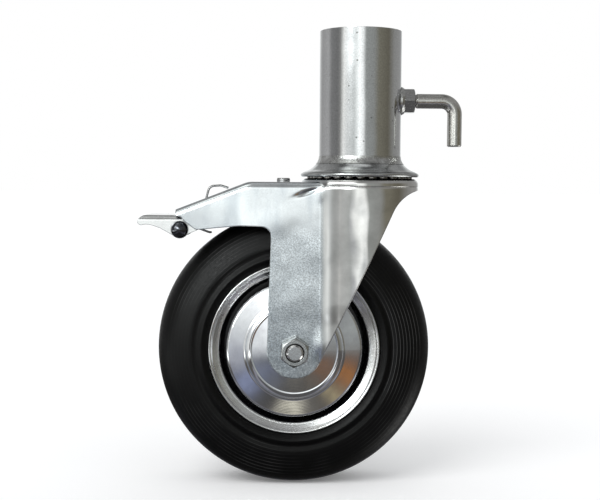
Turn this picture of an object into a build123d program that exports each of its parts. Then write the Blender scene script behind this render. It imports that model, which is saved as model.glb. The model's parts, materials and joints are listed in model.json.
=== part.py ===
from build123d import *
import math
import os

# Scaffold castor. Millimetres, +Z up, origin at the centre of the socket's seat, where a scaffold
# tube stands. +X points to the locking screw, and the wheel trails towards -X.

# Socket tube
tube_od = 60.3
tube_wall = 4.0
tube_length = 93.3
# Overall
castor_offset = 48.2
wheel_clearance = 18.5
# Wheel
wheel_radius = 100.0
wheel_width = 50.0
tyre_rib = 0.8
bead_gap = 0.6
# Swivel bearing
sheet = 3.0
ball_dia = 7.0
ball_play = 0.05
ball_spacing = 8.2
upper_race_inset = 7.9
lower_race_inset = 11.0
race_drop = 14.0
race_lip = 0.7
bell_overhang = 0.3
bell_lip_gap = 0.6
bell_recess_radius = 16.0
bell_recess_depth = 6.0
# Kingpin
pin_radius = 8.0
pin_shoulder = 1.0
pin_head_flats = 24.0
pin_head_height = 9.0
pin_rivet_radius = 12.5
pin_rivet_height = 4.8
pin_rivet_round = 3.0
fit_play = 0.05
# Welds
base_weld_rise = 1.8
base_weld_fall = 4.0
base_weld_proud = 0.75
nut_weld_size = 0.7
# Swivel lock
lock_ring_radius = 33.0
lock_ring_thick = 3.0
lock_notch_count = 24
lock_notch_width = 3.6
lock_notch_depth = 4.2
# Fork
head_radius = 43.4
fork_gap = 61.0
fork_bend = 10.0
fork_edge_round = 5.0
foot_radius = 20.0
head_skirt = 5.0
crook_inset = 15.6
crook_drop = 8.2
leg_front = 17.2
arm_depth = 32.5
arm_slant = 14.6
arm_reach = 134.1
arm_bend_x = -82.0
arm_drop = 20.2
arm_end_half = 29.5
arm_taper_x = -85.0
arm_taper_round = 120.0
arm_bend_round = 15.0
arm_heel_round = 4.0
arm_sag = 0.8
crook_round = 28.0
armpit_round = 7.0
# Axle
axle_radius = 6.0
nut_flats = 19.0
nut_height = 10.0
nut_turn = 5.0
nut_countersink = 0.9
bolt_chamfer = 1.2
bolt_head_height = 7.5
bolt_stickout = 2.0
sleeve_radius = 10.0
# Hub bearing
roller_dia = 3.5
roller_play = 0.05
roller_count = 12
roller_length = 44.0
hub_wall = 2.45
hub_half_length = 26.0
cage_wall = 2.6
# Rim
rim_sheet = 2.0
rim_seat_radius = 56.3
rim_lip_radius = 63.3
rim_half_width = 21.3
rim_flange_fall = 2.3
rim_lip_round = 1.35
rim_collar = 10.0
rim_well_round = 3.0
rim_rivet_count = 6
rim_rivet_circle = 37.0
rim_rivet_radius = 3.0
# Thread guards
guard_sheet = 1.2
guard_radius = 49.3
guard_step_out = 35.9
guard_step_in = 31.6
guard_step = 1.5
guard_fall = 1.7
guard_middle_fall = 0.9
guard_edge_depth = 3.2
guard_round = 2.0
# Brake
lever_thick = 3.0
lever_half = 17.0
tongue_half = 8.0
lever_gap = 1.1
rocker_x = -56.5
brake_swing = 3.2
shoe_half = 19.0
shoe_rub_gap = 1.0
shoe_angle = 110.0
shoe_spread = 14.0
shoe_groove = 2.0
shoe_groove_count = 5
rivet_radius = 3.0
rivet_head_radius = 4.85
rivet_head_height = 3.0
rivet_head_round = 1.0
rocker_gap = 0.1
ridge_round = 4.0
lever_flat_front = 10.0
lever_flat_back = 6.5
lever_joggle = 6.0
lever_bend = 4.0
knee_reach = 12.6
tooth_gap = 0.4
tooth_height = 2.0
tooth_play = 0.3
rocker_play = 0.8
# Pedal
pedal_swing = 28.0
pedal_pin_inset = 2.8
pedal_pin_drop = 14.5
pedal_pin_radius = 3.0
pedal_pin_head_radius = 6.2
pedal_pin_head = 4.0
pedal_pin_round = 2.4
pedal_half = 25.7
pedal_sheet = 2.5
pedal_top = 10.2
pedal_length = 30.5
pedal_round = 4.0
pedal_curl = 7.2
cam_angle = 44.0
cam_tip_radius = 3.0
cam_gap = 0.2
# Return wire
wire_radius = 0.8
wire_inset = 21.4
wire_y = -20.1
wire_hole_radius = 2.0
# Locking screw
screw_height = 42.9
screw_thread_radius = 5.0
screw_rod_radius = 5.4
screw_bend = 9.75
screw_reach = 70.2
screw_drop = 33.5
screw_tip_inset = 0.3
screw_play = 0.07
screw_chamfer = 0.9
weld_nut_flats = 17.0
weld_nut_face = 40.0
weld_nut_stand = 1.6
thread_shown = 2.7

tube_radius = tube_od / 2
bore_radius = tube_radius - tube_wall
ball_radius = ball_dia / 2
groove_radius = ball_radius + ball_play
plate_top = -race_drop - ball_radius
plate_under = plate_top - sheet
axle_x = -castor_offset
axle_z = plate_under - wheel_clearance - wheel_radius
upper_pitch_radius = head_radius - upper_race_inset
lower_pitch_radius = upper_pitch_radius - lower_race_inset
upper_ball_count = math.floor(2 * math.pi * upper_pitch_radius / ball_spacing)
lower_ball_count = math.floor(2 * math.pi * lower_pitch_radius / ball_spacing)
bell_radius = head_radius + bell_overhang
dome_top = -race_drop + 1.5
dome_under = dome_top - sheet
lower_ball_z = dome_under - groove_radius
cup_top = lower_ball_z - 1.5
cup_under = lower_ball_z - groove_radius - sheet
ring_under = cup_under - lock_ring_thick
pedal_pin_x = -arm_reach + pedal_pin_inset
pedal_pin_z = plate_top - arm_drop - pedal_pin_drop
wire_x = -arm_reach + wire_inset
leg_in = fork_gap / 2
leg_out = leg_in + sheet
roller_pitch = sleeve_radius + roller_play + roller_dia / 2
hub_bore = sleeve_radius + 2 * roller_play + roller_dia

WHEEL_PLANE = Plane(origin=(axle_x, 0, axle_z), x_dir=(1, 0, 0), z_dir=(0, 0, 1))
WHEEL_AXIS = Axis((axle_x, 0, axle_z), (0, 1, 0))


def polar(centre, radius, degrees):
    """The point of a circle at an angle."""
    turn = math.radians(degrees)
    return (centre[0] + radius * math.cos(turn), centre[1] + radius * math.sin(turn))


def outline(start, *steps):
    """A closed face. A step is a point, for a line, or a pair of points, for an arc's middle and end."""
    edges = []
    here = start
    for step in steps:
        if isinstance(step[0], tuple):
            middle, end = step
            edges.append(Edge.make_three_point_arc(here, middle, end))
        else:
            end = step
            edges.append(Edge.make_line(here, end))
        here = end
    if math.dist(here, start) > 1e-6:
        edges.append(Edge.make_line(here, start))
    return Face(Wire(edges))


def rounded(face, corners):
    """Rounds the corners nearest the given points of a face."""
    for point, radius in corners:
        nearest = min(face.vertices(), key=lambda v: math.dist((v.X, v.Y), point))
        face = face.fillet_2d(radius, [nearest])
    return face


def between(start, end, along, across_share):
    """The point at one share of the way sideways and another of the way up."""
    return (
        start[0] + along * (end[0] - start[0]),
        start[1] + across_share * (end[1] - start[1]),
    )


def tangent_point(centre, radius, outside, side):
    """Where a line from an outside point touches a circle, on the side +1 or -1."""
    run = (outside[0] - centre[0], outside[1] - centre[1])
    turn = math.degrees(math.atan2(run[1], run[0]))
    spread = math.degrees(math.acos(radius / math.hypot(*run)))
    return polar(centre, radius, turn + side * spread)


def turned(face):
    """A face of radius and height, turned about the swivel axis."""
    return revolve(Plane.XZ * face, Axis.Z, 360)


def wheel_turned(face):
    """A face of radius and width, turned about the axle."""
    return revolve(WHEEL_PLANE * face, WHEEL_AXIS, 360)


def across(face, half):
    """A side view face, drawn out to both sides of the middle plane."""
    return extrude(Plane.XZ * face, half, both=True)


def rod(start, direction, radius, length):
    """A round bar from a point along a direction."""
    return Plane(origin=start, z_dir=direction) * extrude(Circle(radius), length)


def hexagon(start, direction, flats, height, turn=0.0):
    """A hexagonal prism, its end corners cut back by a cone of 30 degrees."""
    corner = flats / math.sqrt(3)
    prism = extrude(RegularPolygon(corner, 6, rotation=turn), height)
    cut = height - (flats - flats / 2) * math.tan(math.radians(30))
    bevel = turned(outline((0, 0), (flats, 0), (flats, cut), (flats / 2, height), (0, height)))
    return Plane(origin=start, z_dir=direction) * (prism & bevel)


def one(shape):
    """The largest solid of a shape."""
    return max(shape.solids(), key=lambda s: s.volume)


def socket_tube():
    tube = extrude(Circle(tube_radius) - Circle(bore_radius), tube_length)
    hole = rod((bore_radius - 2, 0, screw_height), (1, 0, 0), screw_thread_radius + 0.4, tube_wall + 4)
    return tube - hole


def bell_face():
    """The bell's section: a seat with a sunk middle, and a flare over the upper balls."""
    centre = (upper_pitch_radius, -race_drop)
    hole = pin_radius + fit_play
    recess = bell_recess_radius
    floor = -bell_recess_depth
    lip = -race_drop + bell_lip_gap
    skirt = upper_pitch_radius - groove_radius
    neck = (tube_radius + 0.1 * sheet, -0.5 * sheet)
    brim = (bell_radius - sheet, lip + 1.25 * sheet)
    return outline(
        (hole, floor),
        (recess, floor),
        (recess + sheet, 0),
        (neck[0] - 0.8 * sheet, 0),
        neck,
        (between(neck, brim, 0.36, 0.54), brim),
        (bell_radius - 0.25 * sheet, lip + 0.85 * sheet),
        ((bell_radius, lip + 0.4 * sheet), (bell_radius - 0.25 * sheet, lip)),
        polar(centre, groove_radius, 20),
        (polar(centre, groove_radius, 60), polar(centre, groove_radius, 100)),
        (skirt - 0.1 * sheet, -race_drop + 1.9 * sheet),
        (skirt - 1.2 * sheet, -1.7 * sheet),
        (skirt - 1.6 * sheet, -sheet),
        (recess + 1.15 * sheet, -sheet),
        (recess + 0.25 * sheet, floor - sheet),
        (hole, floor - sheet),
    )


def base_weld(tube):
    """Ring weld that runs from the tube's foot into the bell's flare."""
    inside = tube_radius - 0.5 * base_weld_fall
    face = outline(
        (inside, base_weld_rise),
        (tube_radius + 0.15, base_weld_rise),
        (
            (tube_radius + base_weld_proud, -0.3 * base_weld_fall),
            (tube_radius + 0.62 * base_weld_fall, -base_weld_fall),
        ),
        (inside, -base_weld_fall),
    )
    core = extrude(Circle(tube_radius), base_weld_rise)
    bell = turned(offset(bell_face(), fit_play))
    return one(turned(face) - tube - core - bell)


def kingpin():
    """Shouldered pin with a hexagonal head below and its top end riveted over in the bell."""
    shoulder = pin_radius + pin_shoulder
    top = -bell_recess_depth
    corner = (pin_rivet_radius - pin_rivet_round, top + pin_rivet_height - pin_rivet_round)
    shank = turned(
        outline(
            (0, ring_under),
            (pin_radius, ring_under),
            (pin_radius, cup_top),
            (shoulder, cup_top),
            (shoulder, top - sheet),
            (pin_radius, top - sheet),
            (pin_radius, top),
            (pin_rivet_radius, top),
            (pin_rivet_radius, corner[1]),
            (polar(corner, pin_rivet_round, 45), (corner[0], top + pin_rivet_height)),
            (0, top + pin_rivet_height),
        )
    )
    head = hexagon((0, 0, ring_under), (0, 0, -1), pin_head_flats, pin_head_height)
    return shank + head


def lower_race():
    centre = (lower_pitch_radius, lower_ball_z)
    dip = math.degrees(math.asin((lower_ball_z - cup_top) / groove_radius))
    outer = lower_pitch_radius + ball_radius + 0.8 * sheet
    face = outline(
        (pin_radius + fit_play, cup_top),
        polar(centre, groove_radius, 180 + dip),
        (polar(centre, groove_radius, 270), polar(centre, groove_radius, -dip)),
        (outer, cup_top),
        (outer, cup_under),
        (pin_radius + fit_play, cup_under),
    )
    return turned(face)


def lock_ring():
    """Disc under the race, with notches round its rim for the brake lever's tongue."""
    disc = extrude(Circle(lock_ring_radius) - Circle(pin_radius + fit_play), lock_ring_thick)
    notch = Pos(lock_ring_radius, 0, lock_ring_thick / 2) * Box(
        2 * lock_notch_depth, lock_notch_width, lock_ring_thick + 2
    )
    notches = [Rot(0, 0, 360 / lock_notch_count * i) * notch for i in range(lock_notch_count)]
    return Pos(0, 0, ring_under) * (disc - notches)


def ball_row(count, pitch, height):
    ball = Sphere(ball_radius)
    step = 360 / count
    return Compound(
        [Rot(0, 0, step * i) * Pos(pitch, 0, height) * ball for i in range(count)]
    )


def arm_top(x):
    """Height of the arm's upper face."""
    fall = arm_drop / (arm_bend_x + arm_reach)
    return plate_top - max(0.0, arm_bend_x - x) * fall


def fork_plan():
    """The fork from above: a tapering arm, flat legs, and a round head."""
    far = -arm_reach - arm_slant
    slope = (leg_out - arm_end_half) / (arm_reach + arm_taper_x)
    far_half = leg_out - (arm_taper_x - far) * slope
    meet = -math.sqrt(head_radius**2 - leg_out**2)
    face = outline(
        (far, -far_half),
        (arm_taper_x, -leg_out),
        (meet, -leg_out),
        ((head_radius, 0), (meet, leg_out)),
        (arm_taper_x, leg_out),
        (far, far_half),
    )
    corners = [((arm_taper_x, y), arm_taper_round) for y in (-leg_out, leg_out)]
    corners += [((meet, y), fork_bend) for y in (-leg_out, leg_out)]
    return rounded(face, corners)


def fork_side():
    """The fork from the side: arm with its slanted end, head, and the leg down to the axle."""
    axle = (axle_x, axle_z)
    skirt = plate_top - head_skirt
    crook = (head_radius - crook_inset, plate_top - crook_drop)
    armpit = (axle_x - leg_front, plate_top - arm_depth)
    trailing = tangent_point(axle, foot_radius, crook, -1)
    leading = tangent_point(axle, foot_radius, armpit, 1)
    end = (-arm_reach, arm_top(-arm_reach))
    heel = (end[0] + arm_slant, end[1] - arm_slant)
    sag = (arm_bend_x - 2 * sheet, armpit[1] + arm_sag)
    beyond = head_radius + sheet
    face = outline(
        end,
        (arm_bend_x, plate_top),
        (beyond, plate_top),
        (beyond, skirt),
        crook,
        trailing,
        axle,
        leading,
        armpit,
        sag,
        heel,
        between(end, heel, 0.45, 0.6),
        between(end, heel, 0.27, 0.37),
        between(end, heel, 0.0, 0.33),
    )
    corners = [
        ((arm_bend_x, plate_top), arm_bend_round),
        (crook, crook_round),
        (armpit, armpit_round),
        (sag, 1.9 * (sag[0] - heel[0])),
        (heel, arm_heel_round),
    ]
    foot = Pos(*axle) * Circle(foot_radius)
    return Sketch() + rounded(face, corners) + foot


def fork_hollow_side():
    """The space under the fork's upper wall, seen from the side."""
    angle = math.atan2(arm_drop, arm_bend_x + arm_reach)
    bend = (arm_bend_x + sheet * math.tan(angle / 2), plate_under)
    far = -arm_reach - arm_slant
    face = outline(
        (far, bend[1] - (bend[0] - far) * math.tan(angle)),
        bend,
        (2 * head_radius, plate_under),
        (2 * head_radius, axle_z - 2 * foot_radius),
        (far, axle_z - 2 * foot_radius),
    )
    return rounded(face, [(bend, arm_bend_round - sheet)])


def top_edges(solid):
    """The long edges of the fork's upper wall, without those that run across it."""
    picked = []
    for edge in solid.edges():
        ends = (edge @ 0, edge @ 0.5, edge @ 1)
        if any(abs(p.Z - arm_top(p.X)) > 0.9 for p in ends):
            continue
        if max(p.X for p in ends) - min(p.X for p in ends) < 0.01:
            continue
        picked.append(edge)
    return picked


def fork_head():
    """Raised head of the fork: a lip, the upper ball groove, and a dome round the kingpin."""
    centre = (upper_pitch_radius, -race_drop)
    lip = -race_drop - race_lip
    dip = math.degrees(math.asin(race_lip / groove_radius))
    shoulder = head_radius - upper_pitch_radius - groove_radius - 3 * fit_play
    corner = (head_radius - shoulder, lip - shoulder)
    hole = pin_radius + pin_shoulder + 1.0
    hump = upper_pitch_radius - groove_radius
    face = outline(
        (head_radius, plate_under),
        (head_radius, lip - shoulder),
        (polar(corner, shoulder, 45), (corner[0], lip)),
        polar(centre, groove_radius, -dip),
        (polar(centre, groove_radius, 270), polar(centre, groove_radius, 180 + dip)),
        (hump - race_lip, dome_top),
        (hole, dome_top),
        (hole, dome_under),
        (hump - 1.1 * sheet, dome_under),
        (hump + 0.2 * sheet, plate_under),
    )
    return turned(face)


def fork():
    """One pressed sheet: head, arm and both legs, open below."""
    low = axle_z - 2 * foot_radius
    tall = plate_top - low + sheet
    plan = fork_plan()
    outer = Pos(0, 0, low) * extrude(plan, tall) & across(fork_side(), 2 * leg_out)
    outer = fillet(top_edges(outer), fork_edge_round)
    inner_plan = offset(plan, -sheet, kind=Kind.INTERSECTION)
    hollow = across(fork_hollow_side(), 2 * leg_out)
    inner = Pos(0, 0, low - sheet) * extrude(inner_plan, tall + 2 * sheet) & hollow
    shell = outer - inner
    shell -= Pos(0, 0, plate_top) * Cylinder(head_radius - sheet - 1, 4 * sheet)
    shell += fork_head()
    shell -= Pos(axle_x, 0, axle_z) * Rot(90, 0, 0) * Cylinder(axle_radius + 0.1, 4 * leg_out)
    shell -= Pos(rocker_x, 0, plate_top) * Cylinder(rivet_radius + fit_play, 4 * sheet)
    shell -= Pos(wire_x - wire_radius / 2, wire_y, arm_top(wire_x)) * Cylinder(wire_hole_radius, 6 * sheet)
    return one(shell)


def brake_rivet():
    top = plate_top + rivet_head_height
    tail = plate_under - lever_gap - lever_thick - rocker_play
    head = rivet_head_radius
    shank = rivet_radius
    corner = (head - rivet_head_round, top - rivet_head_round)
    face = outline(
        (0, top),
        (corner[0], top),
        (polar(corner, rivet_head_round, 45), (head, corner[1])),
        (head, plate_top),
        (shank, plate_top),
        (shank, tail),
        (2 * shank, tail),
        (2 * shank, tail - 0.35 * shank),
        (1.6 * shank, tail - 0.7 * shank),
        (0, tail - 0.7 * shank),
    )
    return Pos(rocker_x, 0, 0) * turned(face)


# The lever's pivot under the arm, and the point that the wheel's centre has, seen from the lever
# when the brake is on. The shoe is an arc about that point.
PIVOT = (rocker_x, plate_under - rocker_gap)


def swung(point, centre, degrees):
    """A side view point turned about another."""
    reach = math.dist(point, centre)
    turn = math.degrees(math.atan2(point[1] - centre[1], point[0] - centre[0]))
    return polar(centre, reach, turn + degrees)


SHOE_CENTRE = swung((axle_x, axle_z), PIVOT, -brake_swing)
shoe_inner = wheel_radius + shoe_rub_gap
shoe_outer = shoe_inner + sheet
eye_inner = pedal_pin_radius + fit_play
eye_outer = eye_inner + lever_thick


def brake_lever():
    """Spring plate: tongue, joggle, flat over the rocker ridge, slope over the shoe, rolled eye."""
    flat_z = plate_under - lever_gap - lever_thick / 2
    tongue_z = ring_under - tooth_gap - tooth_height - lever_thick / 2
    touch = polar(SHOE_CENTRE, shoe_outer + lever_thick / 2, shoe_angle)
    slope = math.tan(math.radians(shoe_angle - 90))
    eye_z = pedal_pin_z + eye_inner + lever_thick / 2
    knee = (touch[0] + knee_reach, touch[1] + knee_reach * slope)
    heel = (touch[0] - (touch[1] - eye_z) / slope, eye_z)
    tip = -lock_ring_radius + lock_notch_depth + tooth_play
    path = FilletPolyline(
        (tip, tongue_z),
        (rocker_x + lever_flat_front + lever_joggle, tongue_z),
        (rocker_x + lever_flat_front, flat_z),
        (rocker_x - lever_flat_back, flat_z),
        knee,
        heel,
        (pedal_pin_x, eye_z),
        radius=(lever_bend, lever_bend, lever_bend, 2 * lever_bend, 2 * lever_bend),
    )
    strip = Sketch() + trace(path, lever_thick)
    eye = Pos(pedal_pin_x, pedal_pin_z) * Circle(eye_outer)
    hole = Pos(pedal_pin_x, pedal_pin_z) * Circle(eye_inner)
    ridge = Pos(rocker_x, PIVOT[1] - ridge_round) * Circle(ridge_round)
    level = flat_z - lever_thick / 2
    under = Pos(rocker_x, level - ridge_round) * Rectangle(3 * ridge_round, 2 * ridge_round)
    lever = across(strip + eye + (ridge - under) - hole, lever_half)
    front = Pos(rocker_x + lever_flat_front, 0, flat_z) * Box(
        2 * lever_half, 3 * lever_half, 4 * lever_half, align=(Align.MIN, Align.CENTER, Align.CENTER)
    )
    tongue = Box(8 * lever_half, 2 * tongue_half, 8 * lever_half)
    tooth = Pos(tip - lock_notch_depth / 2, 0, tongue_z + lever_thick / 2) * Box(
        lock_notch_depth - 2 * tooth_play - 1.2,
        lock_notch_width - 1.0,
        2 * tooth_height,
    )
    lever = lever - (front - tongue) + tooth
    lever -= Pos(rocker_x, 0, flat_z) * Cylinder(rivet_radius + rocker_play + 0.4, 6 * lever_thick)
    return one(lever)


def brake_shoe():
    """Curved plate under the lever, ribbed where it grips the tyre."""
    start = shoe_angle - shoe_spread / 2
    end = shoe_angle + shoe_spread / 2
    face = outline(
        polar(SHOE_CENTRE, shoe_inner, start),
        (polar(SHOE_CENTRE, shoe_inner, shoe_angle), polar(SHOE_CENTRE, shoe_inner, end)),
        polar(SHOE_CENTRE, shoe_outer, end),
        (polar(SHOE_CENTRE, shoe_outer, shoe_angle), polar(SHOE_CENTRE, shoe_outer, start)),
    )
    plate = across(face, shoe_half)
    for i in range(shoe_groove_count):
        angle = start + shoe_spread * (i + 1) / (shoe_groove_count + 1)
        x, z = polar(SHOE_CENTRE, shoe_inner, angle)
        plate -= Pos(x, 0, z) * Rot(0, 90 - angle, 0) * Box(shoe_groove, 3 * shoe_half, shoe_groove)
    return one(plate)


def cam_reach():
    """From the pin to the middle of the cam's nose, which stops just under the arm when pressed."""
    lean = math.atan2(arm_drop, arm_bend_x + arm_reach)
    x, z = swung((pedal_pin_x, pedal_pin_z), PIVOT, brake_swing)
    room = (arm_top(x) - z) * math.cos(lean) - sheet
    off_square = 90 + math.degrees(lean) - cam_angle - pedal_swing - brake_swing
    return (room - cam_gap - cam_tip_radius) / math.cos(math.radians(off_square))


def pedal_outline():
    """The pedal from the side: cam nose under the arm, flat tread, curled outer end, round cheek."""
    pin = (pedal_pin_x, pedal_pin_z)
    tip = pedal_pin_x - pedal_length
    top = pedal_pin_z + pedal_top
    curl = pedal_curl
    cheek = pedal_pin_head_radius + 0.3
    nose = polar(pin, cam_reach(), cam_angle)
    return outline(
        (pin[0] + 1.4 * pedal_pin_radius, top),
        (tip + 0.8 * curl, top),
        ((tip + 0.24 * curl, top - 0.24 * curl), (tip, top - 0.64 * curl)),
        ((tip + 0.17 * curl, top - 0.93 * curl), (tip + 0.5 * curl, top - curl)),
        (tip + 0.88 * curl, top - 0.92 * curl),
        (tip + 1.42 * curl, top - curl),
        (pin[0] - 2.2 * cheek, top - 1.28 * curl),
        polar(pin, cheek, 222),
        (polar(pin, cheek, 275), polar(pin, cheek, 328)),
        (pin[0] + 1.9 * cheek, pin[1] - 0.1 * cheek),
        (pin[0] + 2.4 * cheek, pin[1] + 0.25 * cheek),
        polar(nose, cam_tip_radius, -5),
        (polar(nose, cam_tip_radius, 50), polar(nose, cam_tip_radius, 110)),
    )


def pedal_section():
    """The pedal seen from its outer end, with its two upper edges rounded, drawn out to the pin."""
    top = pedal_pin_z + pedal_top
    low = top - pedal_length
    flat = pedal_half - pedal_round
    side = top - pedal_round
    face = outline(
        (-pedal_half, low),
        (-pedal_half, side),
        (polar((-flat, side), pedal_round, 135), (-flat, top)),
        (flat, top),
        (polar((flat, side), pedal_round, 45), (pedal_half, side)),
        (pedal_half, low),
    )
    reach = 2 * pedal_length
    start = pedal_pin_x + pedal_pin_radius - reach
    plane = Plane(origin=(start, 0, 0), x_dir=(0, 1, 0), z_dir=(1, 0, 0))
    return plane * extrude(face, reach, dir=(0, 0, 1))


def pedal():
    """Pressed channel with two cheeks, joined by the tread."""
    tip = pedal_pin_x - pedal_length
    top = pedal_pin_z + pedal_top
    inner = top - pedal_sheet
    curl = pedal_curl
    front = pedal_pin_x + pedal_pin_radius
    solid = across(pedal_outline(), pedal_half)
    cam = Pos(front, 0, top) * Box(
        2 * pedal_length, 4 * pedal_half, 4 * pedal_length, align=(Align.MIN, Align.CENTER, Align.CENTER)
    )
    body = (solid & pedal_section()) + (solid & cam)
    hollow = outline(
        (tip + 0.45 * curl, inner - 0.22 * curl),
        (tip + 0.86 * curl, inner),
        (front, inner),
        (front, top + pedal_length),
        (front + 2 * pedal_length, top + pedal_length),
        (front + 2 * pedal_length, top - 2 * pedal_length),
        (tip + 1.03 * curl, top - 2 * pedal_length),
        (tip + 1.03 * curl, top - 0.75 * curl),
        (tip + 0.5 * curl, top - 0.64 * curl),
    )
    place = Pos(pedal_pin_x, 0, pedal_pin_z) * Rot(90, 0, 0)
    hole = place * Cylinder(pedal_pin_radius + fit_play, 4 * pedal_half)
    return one(body - across(hollow, pedal_half - pedal_sheet) - hole)


def pedal_pin():
    """Pin with a domed head at each end."""
    crown = pedal_pin_head_radius
    end = pedal_half + pedal_pin_head
    corner = (crown - pedal_pin_round, end - pedal_pin_round)
    bend = polar(corner, pedal_pin_round, 45)
    face = outline(
        (0, -end),
        (corner[0], -end),
        ((bend[0], -bend[1]), (crown, -corner[1])),
        (crown, -pedal_half),
        (pedal_pin_radius, -pedal_half),
        (pedal_pin_radius, pedal_half),
        (crown, pedal_half),
        (crown, corner[1]),
        (bend, (corner[0], end)),
        (0, end),
    )
    plane = Plane(origin=(pedal_pin_x, 0, pedal_pin_z), x_dir=(1, 0, 0), z_dir=(0, 0, 1))
    return revolve(plane * face, Axis((pedal_pin_x, 0, pedal_pin_z), (0, 1, 0)), 360)


# Route of the return wire in side view: a hook over the arm, down through it, and a tail below.
# The hook's points are given by their place from the hole and their height over the arm.
WIRE_HOOK = ((16.2, 1.0), (10.7, 4.9), (2.5, 7.5), (0.0, -1.0))
WIRE_TAIL = ((-7.0, 1.4), (2.2, -2.0))
WIRE_BENDS = (5.0, 4.5, 8.0, 2.6, 2.0)


def wire_spring():
    hook = [(wire_x + run, wire_y, arm_top(wire_x + run) + rise) for run, rise in WIRE_HOOK]
    tail = [(wire_x + run, wire_y, pedal_pin_z + rise) for run, rise in WIRE_TAIL]
    end = (tail[-1][0] + 1.0, wire_y + 9.0, tail[-1][2] - 0.4)
    path = FilletPolyline(*hook, *tail, end, radius=WIRE_BENDS)
    start = Plane(origin=path @ 0, z_dir=path % 0)
    return one(sweep(start * Circle(wire_radius), path=path))


def axle_bolt():
    """Bolt from the far leg to the near one, where its end stands out of the nut."""
    end = -leg_out - nut_height - bolt_stickout
    face = outline(
        (0, end),
        (axle_radius - bolt_chamfer, end),
        (axle_radius, end + bolt_chamfer),
        (axle_radius, leg_out),
        (0, leg_out),
    )
    head = hexagon((axle_x, leg_out, axle_z), (0, 1, 0), nut_flats, bolt_head_height)
    return wheel_turned(face) + head


def axle_nut():
    """Nut with a countersunk thread."""
    nut = hexagon((axle_x, -leg_out, axle_z), (0, -1, 0), nut_flats, nut_height, 30 + nut_turn)
    sink = axle_radius + nut_countersink
    face = -leg_out - nut_height
    floor = face + nut_countersink
    cone = outline((0, face), (sink, face), (axle_radius, floor), (0, floor))
    bore = Pos(axle_x, 0, axle_z) * Rot(90, 0, 0) * Cylinder(axle_radius + fit_play, 4 * leg_out)
    return nut - bore - wheel_turned(cone)


def axle_sleeve():
    half = leg_in - guard_sheet
    tube = extrude(Circle(sleeve_radius) - Circle(axle_radius + 0.1), half, both=True)
    return Pos(axle_x, 0, axle_z) * Rot(90, 0, 0) * tube


def thread_guard(side):
    """Dished disc between a leg and the sleeve: flat middle, slope, step, outer slope, turned edge."""
    wall = guard_sheet
    level = leg_in - wall / 2
    levels = (
        (axle_radius + 0.2, 0),
        (foot_radius, 0),
        (guard_step_in, guard_middle_fall),
        (guard_step_out, guard_middle_fall + guard_step),
        (guard_radius - wall / 2, guard_middle_fall + guard_step + guard_fall),
        (guard_radius - wall / 2, guard_middle_fall + guard_step + guard_fall + guard_edge_depth),
    )
    points = [(radius, side * (level - fall)) for radius, fall in levels]
    bend = guard_round
    path = FilletPolyline(*points, radius=(5 * bend, bend, bend, 0.75 * bend))
    return revolve(WHEEL_PLANE * (Sketch() + trace(path, wall)), WHEEL_AXIS, 360)


def hub_tube():
    outer = hub_bore + hub_wall
    tube = extrude(Circle(outer) - Circle(hub_bore), hub_half_length, both=True)
    return Pos(axle_x, 0, axle_z) * Rot(90, 0, 0) * tube


def roller_row():
    roller = Cylinder(roller_dia / 2, roller_length)
    step = 360 / roller_count
    row = [Rot(0, 0, step * i) * Pos(roller_pitch, 0, 0) * roller for i in range(roller_count)]
    return Pos(axle_x, 0, axle_z) * Rot(90, 0, 0) * Compound(row)


def roller_cage():
    """Moulded sleeve with a window for each roller."""
    half = roller_length / 2 + cage_wall
    ring = Circle(roller_pitch + cage_wall / 2) - Circle(roller_pitch - cage_wall / 2)
    cage = extrude(ring, half, both=True)
    window = Cylinder(roller_dia / 2 + 2 * roller_play, roller_length + 6 * roller_play)
    step = 360 / roller_count
    for i in range(roller_count):
        cage -= Rot(0, 0, step * i) * Pos(roller_pitch, 0, 0) * window
    return Pos(axle_x, 0, axle_z) * Rot(90, 0, 0) * one(cage)


def rim_half(side):
    """Pressed half of the rim: hub collar, web, well, and a sloped flange with a rolled lip."""
    hub = hub_bore + hub_wall
    wall = rim_sheet
    well = rim_seat_radius - wall
    edge = rim_half_width
    turn = edge - rim_flange_fall - wall
    lip = rim_lip_round
    bend = rim_well_round
    face = outline(
        (hub, 0),
        (hub, side * rim_collar),
        (hub + wall, side * rim_collar),
        (hub + wall, side * wall),
        (well - bend, side * wall),
        (polar((well - bend, side * (wall + bend)), bend, -side * 45), (well, side * (wall + bend))),
        (well, side * turn),
        (polar((well + wall, side * turn), wall, side * 135), (well + wall, side * (turn + wall))),
        (rim_lip_radius - lip, side * edge),
        (
            (rim_lip_radius, side * (edge - lip)),
            (rim_lip_radius - lip, side * (edge - 2 * lip)),
        ),
        (rim_seat_radius + wall / 2, side * turn),
        (rim_seat_radius, side * (turn - wall / 2)),
        (rim_seat_radius, side * wall),
        (rim_seat_radius - wall, 0),
    )
    half = wheel_turned(face)
    for hole in rivet_places():
        half -= hole * Cylinder(rim_rivet_radius, 2 * rim_half_width)
    return half


def rivet_places():
    step = 360 / rim_rivet_count
    base = Pos(axle_x, 0, axle_z) * Rot(90, 0, 0)
    return [base * Rot(0, 0, step * i) * Pos(rim_rivet_circle, 0, 0) for i in range(rim_rivet_count)]


def rim_rivets():
    """Rivets that hold the two halves' webs together."""
    grip = rim_sheet
    shank = rim_rivet_radius
    head = 1.7 * shank
    face = outline(
        (0, -grip - 0.73 * shank),
        (0.55 * head, -grip - 0.63 * shank),
        (head, -grip),
        (shank, -grip),
        (shank, grip),
        (head, grip),
        (0.55 * head, grip + 0.63 * shank),
        (0, grip + 0.73 * shank),
    )
    rivet = turned(face)
    return Compound([place * rivet for place in rivet_places()])


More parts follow.
